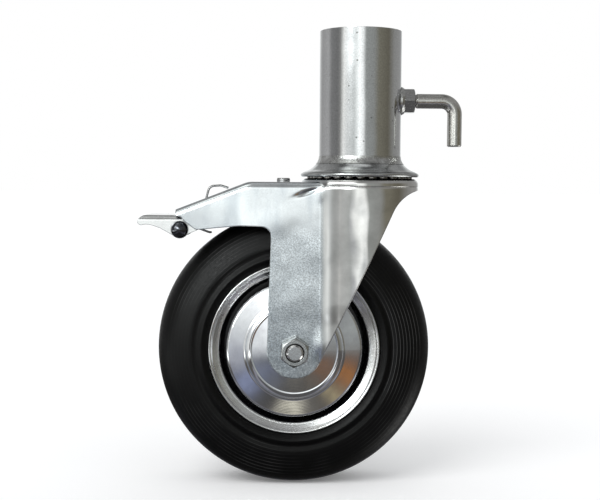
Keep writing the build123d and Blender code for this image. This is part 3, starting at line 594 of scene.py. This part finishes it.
def nut_points(centre, flats, height, bore, sink, turn):
    """A nut that stands on a plane across Y and faces -Y, around a point of that plane.

    Round the nut the distance to its axis is half the flats over the cosine of the angle from the nearest
    flat's middle. A cone of 30 degrees cuts the corners of its face, and another one opens the bore."""
    u = turn + np.radians(np.arange(0, 360, 5))
    nearest = np.mod(u - turn, math.pi / 3) - math.pi / 6
    outer = flats / 2 / np.cos(nearest)
    shoulder = 0.95 * flats / 2
    bevel = height - (outer - shoulder) * math.tan(math.radians(30))
    same = np.ones_like(u)
    profile = [
        (bore * same, 0 * same),
        (outer, 0 * same),
        (outer, bevel),
        (shoulder * same, height * same),
        (sink * same, height * same),
        (bore * same, (height - sink + bore) * same),
    ]
    rows = [
        np.stack([centre.x + radius * np.cos(u), centre.y - level, centre.z + radius * np.sin(u)], axis=-1)
        for radius, level in profile
    ]
    return np.array(rows)


def screw_points(start, neck, reach, level, foot, crest, rod, bend, pitch):
    """The rod of the locking screw, bent down by a quarter circle, its first part threaded.

    Along the rod the distance s gives the turn of its line, 0 to 90 degrees over the bend. Across it the
    radius is the rod's, or in the thread the crest less a groove. The groove's phase is s over the pitch
    less the angle over a full turn, and its ridge is flat over a fifth of the pitch."""
    straight = reach - bend - start
    quarter = bend * math.pi / 2
    length = straight + quarter + level - bend - foot
    thread = neck - start
    s = np.concatenate([
        np.linspace(0, thread, THREAD_ROWS),
        thread + np.array([0.0, 0.2, 0.45, 1.0]) * MM,
        np.linspace(thread + 2 * MM, straight, 8),
        straight + np.linspace(0.04, 1, 24) * quarter,
        np.linspace(straight + quarter + 2 * MM, length - SCREW_END_BEVEL, 10),
        [length],
    ])[:, None]
    u = np.radians(np.arange(0, 360, 7.5))[None, :]
    turn = np.clip((s - straight) / bend, 0, math.pi / 2)
    x = start + np.minimum(s, straight) + bend * np.sin(turn)
    z = level - bend * (1 - np.cos(turn)) - np.maximum(s - straight - quarter, 0)
    phase = np.mod(s / pitch - u / (2 * math.pi), 1.0)
    ridge = np.clip(1.25 - 2.5 * np.abs(phase - 0.5), 0, 1)
    depth = THREAD_DEPTH * pitch * np.clip((thread - s) / pitch, 0, 1)
    threaded = np.minimum(crest - depth * (1 - ridge), crest - SCREW_END_BEVEL + s)
    shoulder = np.minimum(rod, rod - SCREW_SHOULDER_BEVEL + (s - thread))
    plain = np.minimum(shoulder, rod - SCREW_END_BEVEL + (length - s))
    in_thread = np.arange(len(s))[:, None] < THREAD_ROWS
    radius = np.where(in_thread, threaded, plain + 0 * u)
    points = np.stack([
        x + radius * np.cos(u) * np.sin(turn),
        -radius * np.sin(u) + 0 * x,
        z + radius * np.cos(u) * np.cos(turn),
    ], axis=-1)
    return points, ((start, 0, level), (reach, 0, foot))


studio_camera()
studio_world()
studio_sun("key_lamp", -40, 48, 0.9, 35)
studio_floor()

bright = zinc("plated_tube", (0.88, 0.89, 0.9), rough=0.1, speckle=0.16, mottle=0.12, waves=0.6, marks=0.12)
pressed = zinc("plated_fork", (0.8, 0.85, 0.88), rough=0.17, speckle=0.42, mottle=0.2, waves=1.4, edge=1.2,
               dents=FORK_DENTS, race_shade=(41.3, -19, -9), smooth_from=-28)
plain = zinc("plated_pedal", (0.98, 1.0, 1.0), rough=0.14, speckle=0.12, mottle=0.1, waves=0.6, edge=0.6)
bell = zinc("plated_bell", (0.86, 0.88, 0.88), rough=0.17, speckle=0.3, mottle=0.9, waves=2.6,
            race_shade=(42.6, -30, -10.3))
satin = zinc("satin_screw", (0.92, 0.9, 0.86), rough=0.2, speckle=0.3, mottle=0.4, waves=0.3)
fastener = zinc("plated_fasteners", (0.92, 0.92, 0.91), rough=0.17, speckle=0.25, mottle=0.4, edge=0.3)
hexagon = zinc("plated_nut", (0.66, 0.68, 0.68), rough=0.24, speckle=0.3, mottle=0.4, edge=0.45)
disc = disc_metal()
dark = dark_steel("dark_fittings", (0.09, 0.092, 0.1), rough=0.2)
rivet = dark_steel("rivet_steel", (0.42, 0.42, 0.42), rough=0.4)
spring = dark_steel("spring_steel", (0.34, 0.34, 0.34), rough=0.26)
# Painted shade: the balls and rollers are painted dark, as they lie in shade inside the races.
balls = dark_steel("shaded_bearing_steel", (0.32, 0.31, 0.29), rough=0.1)
rim = rim_metal()
rubber = tyre_rubber()
pin = pin_steel()
weld = weld_metal()
plastic = nylon()

FINISHES = {
    "socket_tube": bright, "swivel_bell": bell, "base_weld": weld, "weld_nut": fastener, "nut_weld": weld,
    "kingpin": fastener, "lower_race": bell, "swivel_lock_ring": dark, "upper_balls": balls,
    "lower_balls": balls, "locking_screw": satin, "fork": pressed, "brake_rivet": rivet,
    "wire_spring": spring, "axle_bolt": fastener, "axle_nut": hexagon, "axle_sleeve": fastener,
    "thread_guard_near": disc, "thread_guard_far": disc, "tyre": rubber, "rim_half_near": rim,
    "rim_half_far": rim, "rim_rivets": fastener, "hub_tube": rim, "roller_cage": plastic,
    "hub_rollers": balls, "brake_lever": spring, "brake_shoe": dark, "pedal": plain, "pedal_pin": pin,
}
for node, made in FINISHES.items():
    dress(node, made)

low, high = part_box("axle_nut")
foot = Vector((AXLE.x, high.y, AXLE.z))
surface("axle_nut_hexagon", "fork", "axle_nut",
        nut_points(foot, NUT_FLATS, high.y - low.y, NUT_BORE, NUT_SINK, NUT_TURN), hexagon)

low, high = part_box("locking_screw")
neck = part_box("weld_nut")[1].x + SCREW_SHOWN
level = JOINT["screw_turn"]["pos_m"][2]
points, ends = screw_points(low.x, neck, high.x - SCREW_ROD, level, low.z,
                            SCREW_CREST, SCREW_ROD, SCREW_BEND, SCREW_PITCH)
surface("locking_screw_rod", "screw", "locking_screw", points, satin, ends)

view = bpy.context.scene.view_settings
view.view_transform = "Standard"
